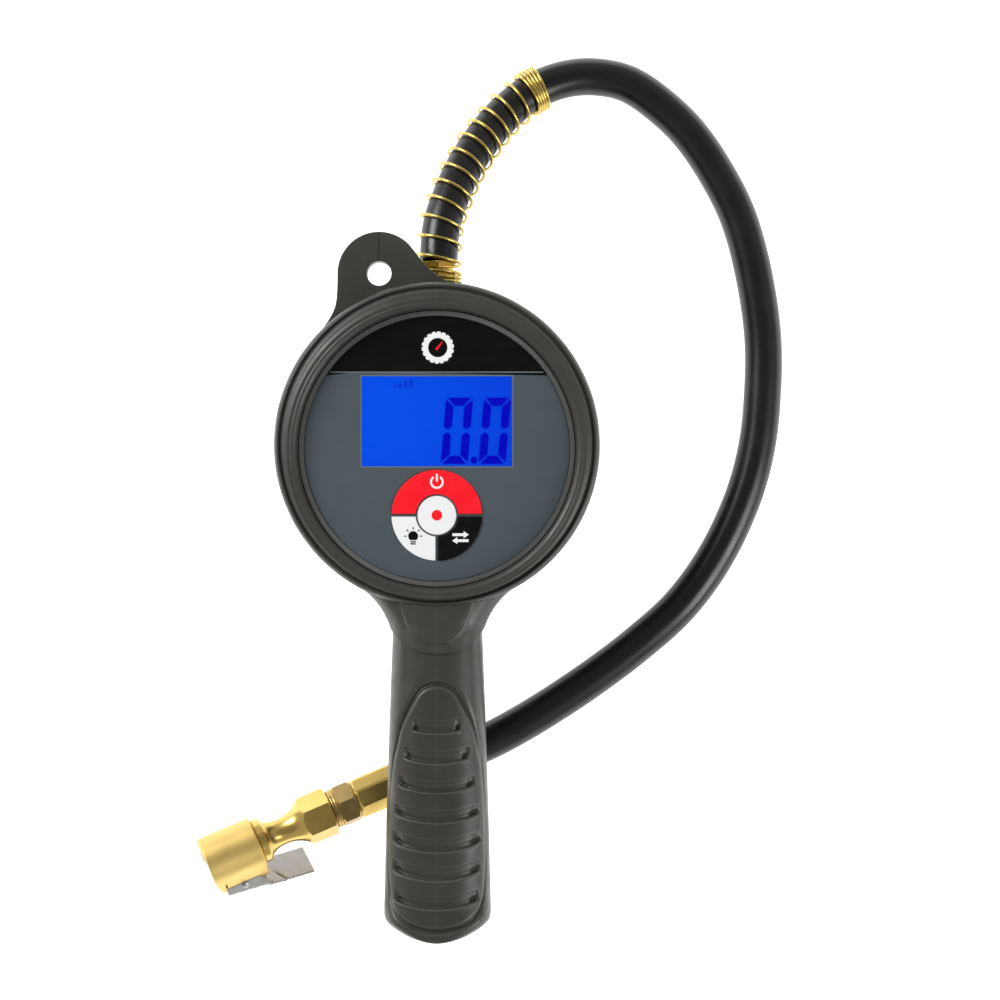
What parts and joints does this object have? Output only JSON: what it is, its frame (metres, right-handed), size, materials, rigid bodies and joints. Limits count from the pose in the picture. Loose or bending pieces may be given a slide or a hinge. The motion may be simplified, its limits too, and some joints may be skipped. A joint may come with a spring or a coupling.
{
  "type": "tire pressure gauge",
  "caption": "Hand-held digital tyre pressure gauge: round rubber-booted head, moulded grip with a squeeze valve, and a rubber hose ending in a clip-on chuck.",
  "frame": {"origin": "middle of the head's flat back, under the centre of the face", "axes": "+Z out of the face, +Y towards the hose outlet and the hang tab, +X to the right of a reader"},
  "size_m": [0.1968, 0.2917, 0.062],
  "materials": {
    "boot_rubber": "matt moulded rubber, charcoal",
    "grip_rubber": "matt moulded rubber, charcoal",
    "casting": "die-cast, satin",
    "dark_plastic": "moulded, fine texture",
    "case_plastic": "moulded, satin",
    "overlay_film": "screen-printed film, slate grey with a black band",
    "window": "clear, polished",
    "lcd_glass": "blue backlit display",
    "light_guide": "milky light guide",
    "elastomer": "striped contact rubber",
    "board": "glass-fibre board with green solder mask",
    "steel": "zinc-plated",
    "switch_plastic": "moulded",
    "key_red": "printed film over a moulded key",
    "key_white": "printed film over a moulded key",
    "key_black": "printed film over a moulded key",
    "seal_rubber": "smooth nitrile",
    "cell_wrap": "printed sleeve, copper and black",
    "nickel": "nickel-plated",
    "lead_wire": "insulated wire",
    "lever_paint": "black powder coat",
    "spring_steel": "drawn wire",
    "brass": "turned and polished",
    "brass_dull": "turned, dull plated",
    "brass_wire": "brass-plated drawn wire",
    "hose_rubber": "smooth glossy cover"
  },
  "bodies": {
    "gauge": {"head_boot": "boot_rubber", "handle_grip": "grip_rubber", "valve_body": "casting", "gauge_case": "case_plastic", "face_overlay": "overlay_film", "display_window": "window", "lcd_panel": "lcd_glass", "lcd_connector": "elastomer", "backlight_panel": "light_guide", "circuit_board": "board", "board_screws": "steel", "key_switches": "switch_plastic", "pressure_sensor": "nickel", "sensor_seal": "seal_rubber", "rear_cover": "dark_plastic", "case_screws": "steel", "battery_door": "dark_plastic", "battery_door_screws": "steel", "batteries": "cell_wrap", "battery_contacts": "nickel", "battery_leads": "lead_wire", "lever_pin": "steel", "valve_seat": "brass", "stem_seal": "seal_rubber", "valve_spring": "spring_steel", "valve_cap": "brass", "passage_plug": "brass", "inlet_bushing": "brass", "inlet_strainer": "steel", "outlet_fitting": "brass", "guard_spring": "brass_wire", "hose": "hose_rubber", "chuck_ferrule": "brass", "hose_end_fitting": "brass_dull", "chuck_body": "brass", "chuck_barrel": "brass", "chuck_seal": "seal_rubber", "chuck_spring": "spring_steel", "clip_pin": "steel", "clip_spring": "spring_steel"},
    "key_power": {"key_power": "key_red"},
    "key_light": {"key_light": "key_white"},
    "key_unit": {"key_unit": "key_black"},
    "squeeze_lever": {"squeeze_lever": "lever_paint"},
    "valve_stem": {"valve_stem": "brass"},
    "clip_lever": {"clip_lever": "steel"},
    "chuck_plunger": {"chuck_plunger": "brass"}
  },
  "joints": [
    {"name": "key_power_press", "type": "slide", "parent": "gauge", "child": "key_power", "axis": [0, 0, -1], "range_m": [0, 0.0005], "stiffness_N_per_m": 900},
    {"name": "key_light_press", "type": "slide", "parent": "gauge", "child": "key_light", "axis": [0, 0, -1], "range_m": [0, 0.0005], "stiffness_N_per_m": 900},
    {"name": "key_unit_press", "type": "slide", "parent": "gauge", "child": "key_unit", "axis": [0, 0, -1], "range_m": [0, 0.0005], "stiffness_N_per_m": 900},
    {"name": "lever_squeeze", "type": "hinge", "parent": "gauge", "child": "squeeze_lever", "pos_m": [0, -0.066, 0.025], "axis": [-1, 0, 0], "range_deg": [0, 6], "stiffness_Nm_per_rad": 0.6, "springref_deg": -20.05},
    {"name": "valve_lift", "type": "slide", "parent": "gauge", "child": "valve_stem", "axis": [0, 0, 1], "range_m": [0, 0.0019], "deforming": ["valve_spring"]},
    {"name": "clip_release", "type": "hinge", "parent": "gauge", "child": "clip_lever", "pos_m": [-0.06689, -0.14311, 0.01403], "axis": [0.3708, -0.5417, 0.7544], "range_deg": [0, 8], "stiffness_Nm_per_rad": 0.5, "springref_deg": -22.92, "deforming": ["clip_spring"]},
    {"name": "plunger_press", "type": "slide", "parent": "gauge", "child": "chuck_plunger", "axis": [0.9085, 0.38, -0.1736], "range_m": [0, 0.002], "stiffness_N_per_m": 300, "deforming": ["chuck_spring"]}
  ],
  "couplings": [
    {"joint": "valve_lift", "follows": "lever_squeeze", "m_per_rad": 0.018}
  ]
}
